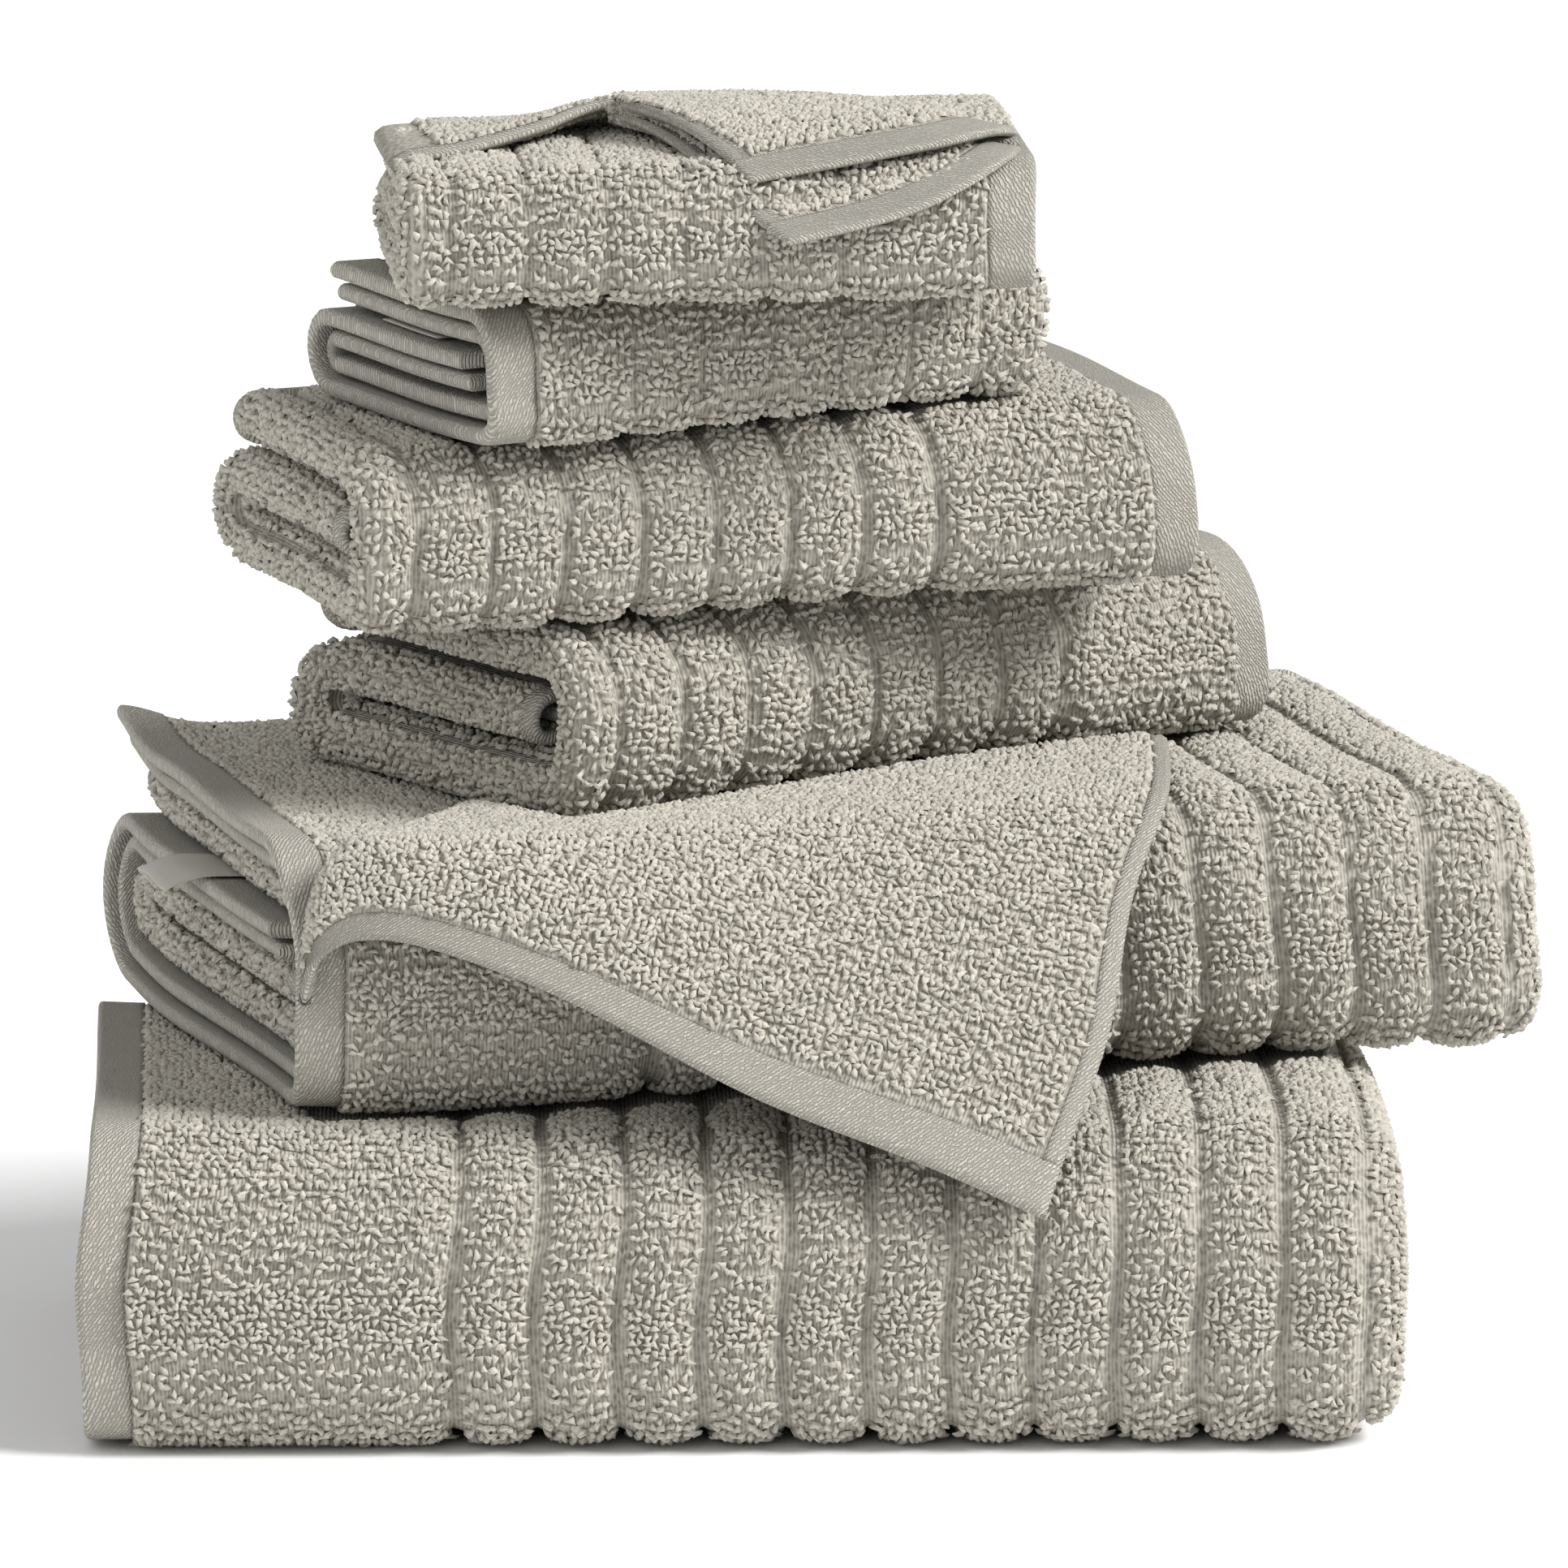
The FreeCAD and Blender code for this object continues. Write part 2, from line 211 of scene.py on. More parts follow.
class Towel:
    def __init__(self, name, turn, plies, hem_left, band, pitch, relief, loose_end=0.0):
        self.name, self.plies, self.hem_left = name, plies, hem_left
        self.band, self.rib, self.relief, self.loose_end = band, pitch, relief, loose_end
        terry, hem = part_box(name + "_terry"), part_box(name + "_outer_hem")
        low = np.minimum(np.array(terry[0]), np.array(hem[0])) / MM
        high = np.maximum(np.array(terry[1]), np.array(hem[1])) / MM
        self.turn = math.radians(turn)
        wide, deep = high[0] - low[0], high[1] - low[1]
        c, s = math.cos(self.turn), math.sin(self.turn)
        self.length = (wide * c - deep * s) / (c * c - s * s)
        self.depth = (deep * c - wide * s) / (c * c - s * s)
        self.middle_x, self.middle_y = (low[:2] + high[:2]) / 2
        self.base, self.height = low[2], high[2] - low[2]
        self.pack = (self.height - 2 * AIR) / 3
        self.ply = self.pack / plies
        p = self.pack + AIR
        self.panel, self.low = p, self.pack / 2
        self.middle, self.high = self.low + p, self.low + 2 * p
        self.foot, self.brow, self.face = FOOT * p, BROW * p, self.pack / 2
        self.rear = self.depth - self.face - p / 2
        self.inner = self.face + max(self.foot, self.brow) + FREE_EDGE
        self.outer = self.depth - SHORT
        self.runs = np.array([
            self.rear - self.inner, math.pi * p / 2, self.rear - self.face - self.foot,
            math.pi / 2 * self.foot, self.high - self.brow - self.low - self.foot,
            math.pi / 2 * self.brow, self.outer - self.face - self.brow])
        self.marks = np.concatenate([[0.0], np.cumsum(self.runs)])
        self.cut = self.marks[-1]
        self.bends = math.pi / 4 * (1 - np.cos(np.linspace(0, math.pi, 200)))
        steps = np.hypot(np.diff(np.sin(self.bends) ** SQUARE), np.diff(np.cos(self.bends) ** SQUARE))
        self.shares = np.concatenate([[0.0], np.cumsum(steps)]) / steps.sum()

    def section(self, v, o):
        """The fold in three: how far back and how high the cloth is at v, at offset o."""
        m, p = self.marks, self.panel
        t = np.clip(v, 0, self.cut)
        back = math.pi / 2 - (t - m[1]) / (p / 2)
        share = np.clip((t - m[3]) / (math.pi / 2 * self.foot), 0, 1)
        foot = 1.5 * math.pi - np.interp(share, self.shares, self.bends)
        brow = math.pi - (t - m[5]) / self.brow
        picks = [t <= m[1], t <= m[2], t <= m[3], t <= m[4], t <= m[5], t <= m[6]]
        y = np.select(picks, [
            self.inner + t, self.rear + (p / 2 + o) * np.cos(back), self.rear - (t - m[2]),
            self.face + self.foot - (self.foot + o) * np.abs(np.cos(foot)) ** SQUARE, self.face - o,
            self.face + self.brow + (self.brow + o) * np.cos(brow)],
            self.face + self.brow + (t - m[6]))
        z = np.select(picks, [
            self.middle + o, self.low + p / 2 + (p / 2 + o) * np.sin(back), self.low - o,
            self.low + self.foot - (self.foot + o) * np.abs(np.sin(foot)) ** SQUARE,
            self.low + self.foot + (t - m[4]),
            self.high - self.brow + (self.brow + o) * np.sin(brow)], self.high + o)
        return y, z

    def stand(self, x, y, z):
        """From the towel's own measures, x from its hemmed end, to its place in the stack."""
        if self.loose_end:
            near = np.exp(-(np.maximum(x, 0) / 15.0) ** 2) * self.loose_end
            share = np.clip(z / self.height, 0, 1)
            wave = 1.2 + 1.2 * np.sin(y / 19.0 + 0.8)
            curl = 5.0 * np.clip((y - 165.0) / 45.0, 0, 1) ** 2 * np.clip(3 * share - 2, 0, 1)
            z = z + near * (wave * (0.35 + 0.65 * share) + curl)
            x = x + self.loose_end * 1.5 * np.sin(y / 27.0) * (1 - 0.6 * share) * near
        left = x if self.hem_left else self.length - x
        a, b = left - self.length / 2, y - self.depth / 2
        c, s = math.cos(self.turn), math.sin(self.turn)
        spots = np.stack([self.middle_x + a * c - b * s, self.middle_y + a * s + b * c,
                          self.base + z], -1)
        return settle(spots) * MM

    def rib_rise(self, u):
        """0 in a groove, 1 on the crown of a rib and on the plain band beside the hem."""
        wave = np.abs(np.sin(math.pi * (u - self.band) / self.rib))
        crown = (np.clip(wave - 0.12, 0, 1) / 0.88) ** 0.62
        return np.where(u < self.band - self.rib / 2, 1.0, crown)

    def skin_rise(self, u, v):
        """How far the outermost skin stands above its plain level: crowns up, grooves down."""
        y0, _ = self.section(v, 0.0 * v)
        y1, _ = self.section(v, 0.0 * v + 1.0)
        free = np.abs(y1 - y0)
        rise = self.rib_rise(u)
        outermost = np.clip((self.length + self.pack - u) / 6.0, 0, 1)
        return outermost * (free * CROWN * (rise * self.relief + 1 - self.relief)
                            - GROOVE * self.relief * (1 - rise))


def settle(spots):
    """The slow unevenness of a soft stack. Every towel shares it, so they stay clear."""
    x, y, z = spots[..., 0], spots[..., 1], spots[..., 2]
    held = np.clip(z / 40.0, 0, 1)
    return np.stack([
        x + held * (1.3 * np.sin(z / 23.0 + y / 61.0) + 0.8 * np.sin(z / 9.5 + 2.0 + x / 90.0)),
        y + held * (1.2 * np.sin(x / 47.0 + 1.0) + 0.7 * np.sin(z / 17.0 + x / 33.0)),
        z + held * (1.6 * np.sin(x / 58.0 + y / 80.0 + 0.7) + 0.7 * np.sin(x / 24.0 - y / 31.0)),
    ], -1)


# what each towel is: turn in degrees, plies, hemmed end, first groove, rib pitch and depth
lower_bath = Towel("bath_towel_lower", 1.2, 4, True, 97.0, 21.5, 1.0)
upper_bath = Towel("bath_towel_upper", 15.5, 4, True, 97.0, 21.5, 1.0, loose_end=1.0)
lower_hand = Towel("hand_towel_lower", 37.5, 3, False, 72.0, 21.0, 1.0)
upper_hand = Towel("hand_towel_upper", 18.0, 3, False, 73.0, 20.5, 0.9)
lower_wash = Towel("washcloth_lower", 28.0, 2, True, 42.0, 20.5, 0.45)
upper_wash = Towel("washcloth_upper", 6.0, 2, False, 51.0, 20.5, 0.5)
stack = [lower_bath, upper_bath, lower_hand, upper_hand, lower_wash, upper_wash]


def laid_flat(t):
    """The cloth's line from end hem to end hem: x, o, the normal in that plane, and u."""
    at = [t.pack / 2 - (k + 0.5) * t.ply for k in range(t.plies)]
    out, far = [], t.length - t.plies * t.ply / 2
    step = {"fine": 2.4, "coarse": 10.0}

    def straight(k, a, b, side, grain):
        n = max(2, int(abs(b - a) / step[grain]) + 1)
        for x in np.linspace(a, b, n):
            out.append((x, at[k], 0.0, side))

    def crease(x, a, b, heading, side, n):
        r, mid = abs(at[a] - at[b]) / 2, (at[a] + at[b]) / 2
        sign = 1.0 if at[a] > at[b] else -1.0
        flip = 1.0 if side == sign else -1.0
        for phi in np.linspace(0, math.pi, n + 2)[1:-1]:
            nx, no = heading * math.sin(phi), sign * math.cos(phi)
            out.append((x + r * nx, mid + r * no, flip * nx, flip * no))

    straight(0, 0.0, far, 1.0, "fine")
    if t.plies == 4:
        crease(far, 0, 3, 1.0, 1.0, 12)
        straight(3, far, 2 * HEM_STEP + t.ply, -1.0, "coarse")
        crease(2 * HEM_STEP + t.ply, 3, 2, -1.0, -1.0, 6)
        straight(2, 2 * HEM_STEP + t.ply, far, 1.0, "coarse")
        crease(far, 2, 1, 1.0, 1.0, 6)
        straight(1, far, HEM_STEP, -1.0, "coarse")
    elif t.plies == 3:
        crease(far, 0, 2, 1.0, 1.0, 10)
        straight(2, far, HEM_STEP + t.ply, -1.0, "coarse")
        crease(HEM_STEP + t.ply, 2, 1, -1.0, -1.0, 6)
        straight(1, HEM_STEP + t.ply, far - t.ply / 2, 1.0, "coarse")
    else:
        crease(far, 0, 1, 1.0, 1.0, 8)
        straight(1, far, HEM_STEP, -1.0, "coarse")
    line = np.array(out)
    u = np.concatenate([[0], np.cumsum(np.hypot(np.diff(line[:, 0]), np.diff(line[:, 1])))])
    return line, u


def cut_line(line, u, a, b):
    """The part of the cloth's line from a to b, with its ends put in exactly."""
    keep = (u > a + 0.2) & (u < b - 0.2)
    marks = np.concatenate([[a], u[keep], [b]])
    part = np.stack([np.interp(marks, u, line[:, i]) for i in range(4)], -1)
    part[:, 2:] /= np.linalg.norm(part[:, 2:], axis=1, keepdims=True)
    return part, marks


def across(t, a, b):
    """Stations across the cut cloth, closer together on the turns."""
    marks = [a]
    for i, end in enumerate(t.marks[1:]):
        start, gap = t.marks[i], (2.6 if i in (1, 3, 5) else 7.5)
        lo, hi = max(a, start), min(b, end)
        if hi > lo + 0.1:
            n = max(1, int(round((hi - lo) / gap)))
            marks.extend(np.linspace(lo, hi, n + 1)[1:])
    return np.array(marks)


def cloth_object(name, outer, under, u, v, finish_):
    """A closed sheet from two grids of points, with the flat cloth as its UV map."""
    nu, nv = outer.shape[:2]
    points = np.concatenate([outer.reshape(-1, 3), under.reshape(-1, 3)])
    i = np.arange(nu * nv).reshape(nu, nv)
    j = i + nu * nv
    a, b, c, d = i[:-1, :-1], i[1:, :-1], i[1:, 1:], i[:-1, 1:]
    top = np.stack([a, b, c, d], -1).reshape(-1, 4)
    a, b, c, d = j[:-1, :-1], j[:-1, 1:], j[1:, 1:], j[1:, :-1]
    low = np.stack([a, b, c, d], -1).reshape(-1, 4)
    rim = np.concatenate([i[0, :], i[1:, -1], i[-1, -2::-1], i[-2:0:-1, 0]])
    under_rim = rim + nu * nv
    rolled, rolled_under = np.roll(rim, -1), np.roll(under_rim, -1)
    edge = np.stack([rim, rolled, rolled_under, under_rim], -1)
    faces = np.concatenate([top, low, edge])
    p = points[faces]
    inside_out = (np.einsum("ij,ij->i", p[:, 0], np.cross(p[:, 1], p[:, 2]))
                  + np.einsum("ij,ij->i", p[:, 0], np.cross(p[:, 2], p[:, 3]))).sum() < 0
    if inside_out:
        faces = faces[:, ::-1]
    mesh = bpy.data.meshes.new(name)
    mesh.from_pydata(points.tolist(), [], faces.tolist())
    flat = np.stack(np.meshgrid(u, v, indexing="ij"), -1).reshape(-1, 2) * MM
    flat = np.concatenate([flat, flat])
    corners = np.zeros(len(mesh.loops), np.int32)
    mesh.loops.foreach_get("vertex_index", corners)
    layer = mesh.uv_layers.new(name="cut_cloth")
    layer.data.foreach_set("uv", flat[corners].astype(np.float32).ravel())
    mesh.polygons.foreach_set("use_smooth", [True] * len(mesh.polygons))
    mesh.materials.append(finish_)
    made = bpy.data.objects.new(name, mesh)
    bpy.context.scene.collection.objects.link(made)
    return made


EDGE_ROUND = 1.5     # a hem's folded edge is as round as it is thick


def strip(t, name, part, u, v, thick, finish_, ribbed=False, ridge=False):
    """A piece of one towel's cloth, folded where the towel is folded."""
    grid_u, grid_v = np.meshgrid(u, v, indexing="ij")
    plain = np.full(grid_u.shape, thick / 2)
    half = plain + (t.skin_rise(grid_u, grid_v) if ribbed else 0.0)
    if ridge:
        half = half + RIDGE * np.cos(2 * math.pi * (grid_v - v[0]) / RIDGE_PITCH)
    free = np.minimum(np.minimum(grid_v, t.cut - grid_v), np.minimum(grid_u, t.full - grid_u))
    edge = np.sqrt(np.clip(1 - (1 - np.clip(free / EDGE_ROUND, 0.02, 1)) ** 2, 0, 1))
    half, plain = half * edge, plain * edge
    x, o = part[:, 0][:, None], part[:, 1][:, None]
    nx, no = part[:, 2][:, None], part[:, 3][:, None]
    skins = []
    for side, h in ((1, half), (-1, plain)):
        y, z = t.section(grid_v, o + side * h * no)
        skins.append(t.stand(x + side * h * nx + 0 * y, y, z))
    return cloth_object(name, skins[0], skins[1], u, v, finish_)


terry_of, with_of = {}, {}
NEAR_EDGE = np.array([0.0, 0.15, 0.45, 0.9, 1.5])

for t in stack:
    line, u = laid_flat(t)
    full = t.full = u[-1]
    body, mu = cut_line(line, u, END_HEM, full - END_HEM)
    middle_v = across(t, SIDE_HEM, t.cut - SIDE_HEM)
    terry = strip(t, t.name + "_terry_cloth", body, mu, middle_v,
                  t.ply - GROUND_SHARE - LOOP_TIP, ground_finish_painted_shade, ribbed=True)
    hems = []
    for label, a, b, node in (("outer_hem", 0.0, END_HEM, "_outer_hem"),
                              ("inner_hem", full - END_HEM, full, "_inner_hem")):
        marks = np.concatenate([NEAR_EDGE, np.linspace(2.6, END_HEM, 7)])
        marks = marks if a == 0.0 else np.sort(full - marks)
        part = np.stack([np.interp(marks, u, line[:, k]) for k in range(4)], -1)
        part[:, 2:] /= np.linalg.norm(part[:, 2:], axis=1, keepdims=True)
        rows = np.concatenate([NEAR_EDGE, across(t, 3.0, t.cut - 3.0), np.sort(t.cut - NEAR_EDGE)])
        made = strip(t, t.name + "_" + label + "_strip", part, marks, rows,
                     t.ply * HEM_SHARE, hem_finish)
        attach(made, t.name)
        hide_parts(t.name + node)
        hems.append(made)
    for label, a, b in (("hidden", 0.0, SIDE_HEM), ("top", t.cut - SIDE_HEM, t.cut)):
        rows = np.concatenate([NEAR_EDGE, np.linspace(2.2, SIDE_HEM, 6)])
        rows = rows if a == 0.0 else np.sort(t.cut - rows)
        made = strip(t, t.name + "_side_hem_" + label, body, mu, rows,
                     t.ply * SIDE_SHARE, hem_finish, ridge=True)
        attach(made, t.name)
        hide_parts(t.name + "_side_hems")
        hems.append(made)
    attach(terry, t.name)
    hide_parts(t.name + "_terry")
    terry_of[t.name], with_of[t.name] = terry, hems
    t.line, t.u = line, u

# ---------------------------------------------------------------------------
# Lock stitches along the inner edge of each outer hem: short round lengths of
# twisted cotton thread, one every 2.4 mm, drawn a little into the cloth.
# ---------------------------------------------------------------------------
STITCH = 2.4
STITCH_IN = 0.2       # inside the hem's inner edge
THREAD_PROUD = 0.15

# thread: twisted strands, coloured dark all over as painted shade of the stitch line sunk into the hem
thread_finish_painted_shade, tree, shader, place, ramp = finish(
    "lock_stitch", (0.10, 0.09, 0.075), (0.22, 0.20, 0.17), 0.8, 0.1)
strand = add(tree, "ShaderNodeTexNoise")
strand.inputs["Scale"].default_value = 1200.0
tree.links.new(place.outputs["Object"], strand.inputs["Vector"])
tree.links.new(strand.outputs["Fac"], ramp.inputs["Fac"])
bump_from(tree, shader, strand.outputs["Fac"], 0.4, 0.0002)

for thing in bpy.context.selected_objects:
    thing.select_set(False)
bpy.ops.mesh.primitive_cylinder_add(vertices=5, radius=0.42, depth=1.5, end_fill_type="TRIFAN",
                                    rotation=(math.pi / 2, 0.0, 0.0))
model = bpy.context.object
bpy.ops.object.transform_apply(rotation=True)
stitch_points = np.array([p.co for p in model.data.vertices])
stitch_faces = [list(f.vertices) for f in model.data.polygons]
bpy.data.objects.remove(model)


def frame_at(t, u, v, lift):
    """A point on the outer skin at flat place (u, v), with the cloth's own directions there."""
    part = np.stack([np.interp(u, t.u, t.line[:, k]) for k in range(4)], -1)

    def spot(du, dv, dn):
        q = np.stack([np.interp(u + du, t.u, t.line[:, k]) for k in range(4)], -1)
        y, z = t.section(v + dv, q[:, 1] + (lift + dn) * q[:, 3])
        return t.stand(q[:, 0] + (lift + dn) * q[:, 2], y, z)

    here = spot(0, 0, 0)
    normal = spot(0, 0, 0.5) - here
    along_v = spot(0, 0.5, 0) - spot(0, -0.5, 0)
    normal /= np.linalg.norm(normal, axis=1, keepdims=True)
    along_v /= np.linalg.norm(along_v, axis=1, keepdims=True)
    along_u = np.cross(along_v, normal)
    along_u /= np.linalg.norm(along_u, axis=1, keepdims=True)
    return here, along_u, np.cross(normal, along_u), normal, part


def scatter(name, shape, faces, here, x_dir, y_dir, z_dir, finish_, tones):
    """Copies one small shape to many places, in one mesh, each with its own tone and map cell."""
    n, m = len(here), len(shape[0]) if shape.ndim == 3 else len(shape)
    local = shape if shape.ndim == 3 else np.broadcast_to(shape, (n, m, 3))
    points = (here[:, None] + local[..., :1] * MM * x_dir[:, None] + local[..., 1:2] * MM * y_dir[:, None]
              + local[..., 2:] * MM * z_dir[:, None]).reshape(-1, 3)
    all_faces = []
    starts = (np.arange(n) * m)
    faces_by_size = [np.array(f) for f in faces]
    for s in starts:
        all_faces.extend([(f + s).tolist() for f in faces_by_size])
    mesh = bpy.data.meshes.new(name)
    mesh.from_pydata(points.tolist(), [], all_faces)
    corners = np.zeros(len(mesh.loops), np.int32)
    mesh.loops.foreach_get("vertex_index", corners)
    cells = int(math.ceil(math.sqrt(n)))
    cell = np.stack([np.arange(n) % cells, np.arange(n) // cells], -1)
    reach = np.abs(local[..., :2]).max() * 2.2
    flat = (cell[:, None] + 0.5 + local[..., :2] / reach) / cells
    layer = mesh.uv_layers.new(name="OFBake")
    layer.data.foreach_set("uv", flat.reshape(-1, 2)[corners].astype(np.float32).ravel())
    values = mesh.attributes.new("tone", "FLOAT", "POINT")
    values.data.foreach_set("value", np.repeat(tones, m).astype(np.float32))
    mesh.polygons.foreach_set("use_smooth", [True] * len(mesh.polygons))
    mesh.materials.append(finish_)
    made = bpy.data.objects.new(name, mesh)
    bpy.context.scene.collection.objects.link(made)
    return made


for t in stack:
    v = np.arange(STITCH, t.cut - STITCH, STITCH)
    here, xd, yd, zd, _ = frame_at(t, np.full(len(v), END_HEM - STITCH_IN), v,
                                t.ply * 0.25 + THREAD_PROUD)
    row = scatter(t.name + "_stitch_row", stitch_points, stitch_faces, here, xd, yd, zd,
                  thread_finish_painted_shade, np.full(len(v), 0.5))
    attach(row, t.name)
    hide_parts(t.name + "_hem_stitching")
    with_of[t.name].append(row)

# ---------------------------------------------------------------------------
# Care labels: a folded satin ribbon sewn into the end between two panels. It
# shows at the end of the upper bath towel and lies inside the others.
# ---------------------------------------------------------------------------
LABEL_LONG = 25.0
LABEL_HALF = 16.0    # half its width
LABEL_OUT = -11.0    # where it starts on the towel that shows it
LABEL_IN = 4.0       # and on the others
RIBBON_HALF = 0.15

# label: smooth satin ribbon with faint cross threads
label_finish, tree, shader, place, ramp = finish(
    "satin_ribbon", (0.40, 0.38, 0.335), (0.56, 0.54, 0.485), 0.38, 0.1)
shine = add(tree, "ShaderNodeTexWave")
shine.inputs["Scale"].default_value = 900.0
tree.links.new(place.outputs["Object"], shine.inputs["Vector"])
tree.links.new(shine.outputs["Fac"], ramp.inputs["Fac"])
bump_from(tree, shader, shine.outputs["Fac"], 0.2, 0.0001)

for t in stack:
    start = LABEL_OUT if t is upper_bath else LABEL_IN
    x = np.linspace(start, start + LABEL_LONG, 12)
    y = np.linspace(t.depth / 2 - LABEL_HALF, t.depth / 2 + LABEL_HALF, 14)
    gx, gy = np.meshgrid(x, y, indexing="ij")
    droop = np.clip(-gx, 0, None) ** 1.6 * 0.07 + 0.4 * np.sin(gy / 5.0) * np.clip(-gx / 6, 0, 1)
    level = t.middle + t.pack / 2 + AIR / 2
    made = cloth_object(t.name + "_care_label_ribbon", t.stand(gx, gy, level - droop + RIBBON_HALF),
                        t.stand(gx, gy, level - droop - RIBBON_HALF), x, y, label_finish)
    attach(made, t.name)
    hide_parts(t.name + "_care_label")
    with_of[t.name].append(made)

# ---------------------------------------------------------------------------
# The turned corner of the upper bath towel: terry with an end hem and a side
# hem, turned out over the front to hang over the towel below. The cloth rolls
# over softly, wide at the hem, and is laid between four soft lines.
# ---------------------------------------------------------------------------
def smooth_line(points, n):
    """A soft line through a few points, with n stations evenly along it."""
    p = np.array(points, float)
    p = np.concatenate([[2 * p[0] - p[1]], p, [2 * p[-1] - p[-2]]])
    fine = []
    for k in range(1, len(p) - 2):
        s = np.linspace(0, 1, 24, endpoint=False)[:, None]
        fine.append(0.5 * (2 * p[k] + (p[k + 1] - p[k - 1]) * s
                           + (2 * p[k - 1] - 5 * p[k] + 4 * p[k + 1] - p[k + 2]) * s ** 2
                           + (3 * p[k] - p[k - 1] - 3 * p[k + 1] + p[k + 2]) * s ** 3))
    fine = np.concatenate(fine + [p[-2][None]])
    run = np.concatenate([[0], np.cumsum(np.linalg.norm(np.diff(fine, axis=0), axis=1))])
    at = np.linspace(0, run[-1], n)
    return np.stack([np.interp(at, run, fine[:, k]) for k in range(3)], -1)


def corner_sheet(hem_line, ridge_line, edge_line, end_line, nu, nv):
    """A soft patch inside four lines: hem and end run one way, ridge and edge the other."""
    a, b = smooth_line(hem_line, nu), smooth_line(end_line, nu)
    c, d = smooth_line(ridge_line, nv), smooth_line(edge_line, nv)
    s, w = np.linspace(0, 1, nu)[:, None, None], np.linspace(0, 1, nv)[None, :, None]
    return ((1 - w) * a[:, None] + w * b[:, None] + (1 - s) * c[None] + s * d[None]
            - (1 - s) * (1 - w) * a[0] - s * (1 - w) * a[-1] - (1 - s) * w * b[0] - s * w * b[-1])


def grid_normals(points):
    du, dv = np.gradient(points, axis=0), np.gradient(points, axis=1)
    n = np.cross(du, dv)
    return n / np.maximum(np.linalg.norm(n, axis=-1, keepdims=True), 1e-9)


SOFT_STOP = 1.2      # how gently a turned ply flattens under what lies on it
SOFT_REACH = 9.0     # how far outside the towel above its weight is still felt
CLEAR = 0.6          # left between a turned ply and the towel above
PILE_ROOM = 1.4      # how much thinner the ground of a turned ply is than the ply
TURNED_HEM = 0.75    # its hems' thickness, as a share of the ply
NO_EDGE = 9.0        # stands for "no free edge near here"


def far_inside(spots, towel):
    """How far inside the outline of another towel each place is, seen from above."""
    c, s = math.cos(towel.turn), math.sin(towel.turn)
    dx, dy = spots[..., 0] / MM - towel.middle_x, spots[..., 1] / MM - towel.middle_y
    x, y = np.abs(dx * c + dy * s), np.abs(dy * c - dx * s)
    return np.minimum(towel.length / 2 - x, towel.depth / 2 - y)


def weight_of(spots, towel):
    """1 inside the outline of the towel above, falling softly to 0 outside it."""
    return np.clip(far_inside(spots, towel) / SOFT_REACH + 1, 0, 1)


def turned_corner(t, label, node, hem_line, ridge_line, edge_line, end_line, thick, outward,
                  nu=80, nv=110, end_hem=True, roll=0.01):
    """Terry, end hem and side hem of one turned corner, and the places for its loops."""
    mid = corner_sheet(hem_line, ridge_line, edge_line, end_line, nu, nv)
    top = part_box(node)[1][2] / MM
    ceiling = top - t.base - thick / 2 - LOOP_TIP
    if t is not stack[-1]:
        above = stack[stack.index(t) + 1]
        pressed = weight_of(t.stand(mid[..., 0], mid[..., 1], mid[..., 2]), above)
        ceiling = ceiling + pressed * min(0.0, above.base - CLEAR - top)
    mid[..., 2] -= SOFT_STOP * np.log1p(np.exp((mid[..., 2] - ceiling) / SOFT_STOP))
    normal = grid_normals(mid)
    if (normal[nu // 2, nv // 2] * np.array(outward)).sum() < 0:
        normal = -normal
    from_ridge = np.linalg.norm(mid - mid[:1], axis=-1)
    rolled = roll - np.sqrt(np.clip(2 * roll * from_ridge - from_ridge ** 2, 0, None))
    dip = np.where(from_ridge < roll, rolled, 0.0)
    heart = normal[nu // 2, nv // 2]
    mid = mid - heart * (dip * np.linspace(0.3, 1, nv)[None])[..., None]
    normal = grid_normals(mid)
    if (normal[nu // 2, nv // 2] * heart).sum() <= 0:
        normal = -normal
    across_run = np.linalg.norm(np.diff(mid[nu // 2], axis=0), axis=1).sum()
    along_run = np.linalg.norm(np.diff(mid[:, 0], axis=0), axis=1).sum()
    b = np.linspace(0, across_run, nv)
    a = np.linspace(0, along_run, nu)
    hem_n = max(3, int(END_HEM / across_run * nv)) if end_hem else 1
    side_n = max(3, int(SIDE_HEM / along_run * nu))
    made = []
    for kind, us, vs, depth, cloth in (
            ("_cloth", slice(0, nu - side_n), slice(hem_n - 1, nv), thick - PILE_ROOM, ground_finish_painted_shade),
            ("_hem", slice(0, nu), slice(0, hem_n), thick * TURNED_HEM, hem_finish),
            ("_side", slice(nu - side_n - 1, nu), slice(hem_n - 1, nv), thick * TURNED_HEM,
             hem_finish)):
        if kind == "_hem" and not end_hem:
            continue
        m, n = mid[us, vs], normal[us, vs]
        h = np.full(m.shape[:2], depth / 2)
        if kind == "_side":
            over = np.linspace(0, SIDE_HEM, m.shape[0])
            h = h + RIDGE * np.cos(2 * math.pi * over / RIDGE_PITCH)[:, None]
        free = np.full(m.shape[:2], NO_EDGE)
        if kind == "_hem":
            free = np.minimum(free, b[vs][None, :] + 0.05)
        if kind != "_cloth":
            free = np.minimum(free, (a[-1] - a[us])[:, None] + 0.05)
        h = h * np.sqrt(1 - (1 - np.clip(free / EDGE_ROUND, 0.02, 1)) ** 2)
        up, down = m + n * h[..., None], m - n * h[..., None]
        piece = cloth_object(t.name + label + kind, t.stand(up[..., 0], up[..., 1], up[..., 2]),
                             t.stand(down[..., 0], down[..., 1], down[..., 2]),
                             a[us], b[vs], cloth)
        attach(piece, t.name)
        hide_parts(node)
        made.append(piece)
    with_of[t.name].extend(made)
    return mid, normal, a, b, thick


